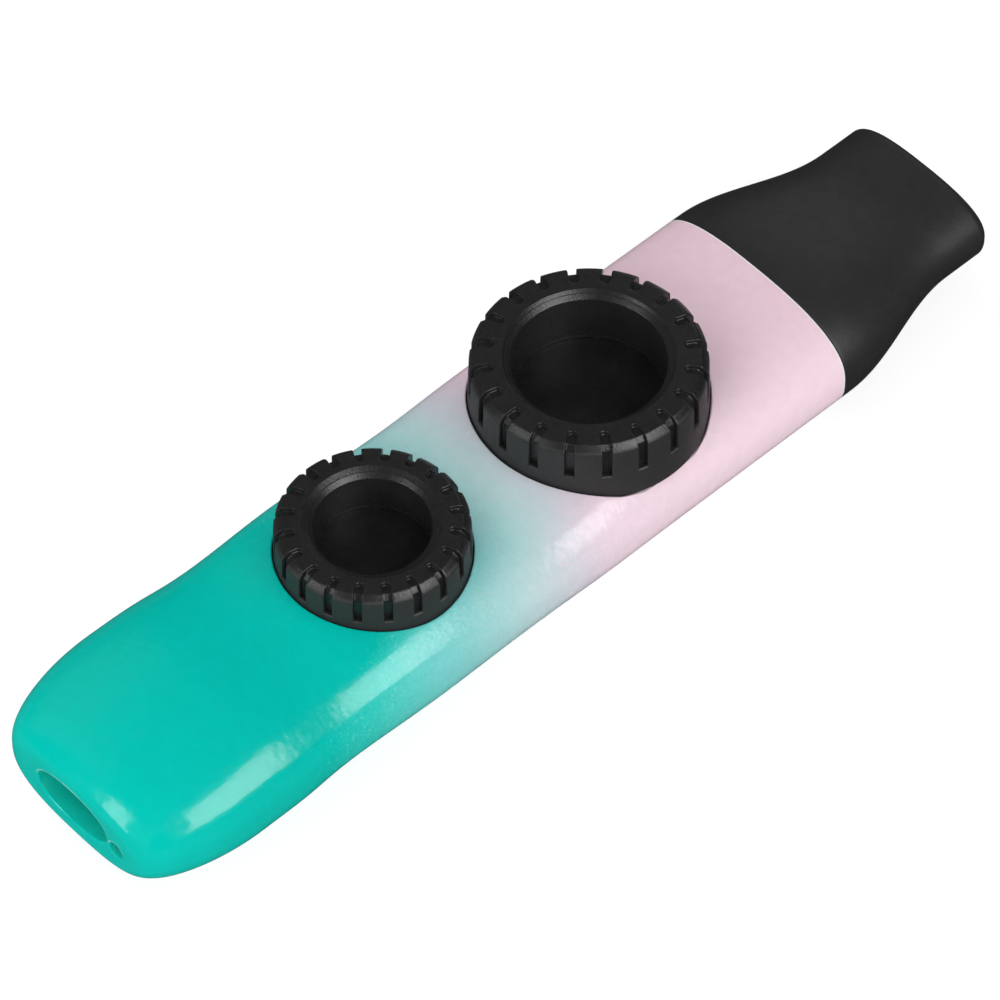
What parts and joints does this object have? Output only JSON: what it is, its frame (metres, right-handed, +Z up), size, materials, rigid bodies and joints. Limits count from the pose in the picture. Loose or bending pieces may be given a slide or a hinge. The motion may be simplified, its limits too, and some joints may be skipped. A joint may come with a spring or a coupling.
{
  "type": "kazoo",
  "caption": "Flat oval kazoo with a painted tapering body, screw caps over vibrating membranes, an oval outlet with a lanyard hole and a plug-in mouthpiece.",
  "frame": {"origin": "on the surface that the kazoo lies on, under the middle of its length and width", "axes": "+X along the body towards the mouthpiece, +Z up through the caps, +Y to the left of a player who looks along +X"},
  "size_m": [0.1442, 0.0336, 0.0238],
  "materials": {
    "painted_body": "glossy sprayed paint, teal fading to pale pink",
    "black_abs": "satin",
    "seal_rubber": "soft matte",
    "slip_plastic": "smooth",
    "ring_plastic": "smooth",
    "film": "thin stretched dark film"
  },
  "bodies": {
    "body": {"body_shell": "painted_body", "large_membrane": "film", "large_membrane_ring": "ring_plastic", "large_gasket": "seal_rubber", "small_membrane": "film", "small_membrane_ring": "ring_plastic", "small_gasket": "seal_rubber"},
    "mouthpiece": {"mouthpiece": "black_abs", "mouthpiece_seal": "seal_rubber"},
    "large_lift": {"large_slip_ring": "slip_plastic"},
    "large_cap": {"large_cap": "black_abs"},
    "small_lift": {"small_slip_ring": "slip_plastic"},
    "small_cap": {"small_cap": "black_abs"}
  },
  "joints": [
    {"name": "mouthpiece_pull", "type": "slide", "parent": "body", "child": "mouthpiece", "axis": [1, 0, 0], "range_m": [0, 0.012]},
    {"name": "large_cap_lift", "type": "slide", "parent": "body", "child": "large_lift", "axis": [0, 0, 1], "range_m": [0, 0.0045]},
    {"name": "large_cap_turn", "type": "hinge", "parent": "large_lift", "child": "large_cap", "pos_m": [0.0128, 0, 0.0138], "axis": [0, 0, 1], "range_deg": [0, 1080]},
    {"name": "small_cap_lift", "type": "slide", "parent": "body", "child": "small_lift", "axis": [0, 0, 1], "range_m": [0, 0.0045]},
    {"name": "small_cap_turn", "type": "hinge", "parent": "small_lift", "child": "small_cap", "pos_m": [-0.0234, 0, 0.0138], "axis": [0, 0, 1], "range_deg": [0, 1080]}
  ],
  "couplings": [
    {"joint": "large_cap_turn", "follows": "large_cap_lift", "rad_per_m": 4188.8},
    {"joint": "small_cap_turn", "follows": "small_cap_lift", "rad_per_m": 4188.8}
  ]
}
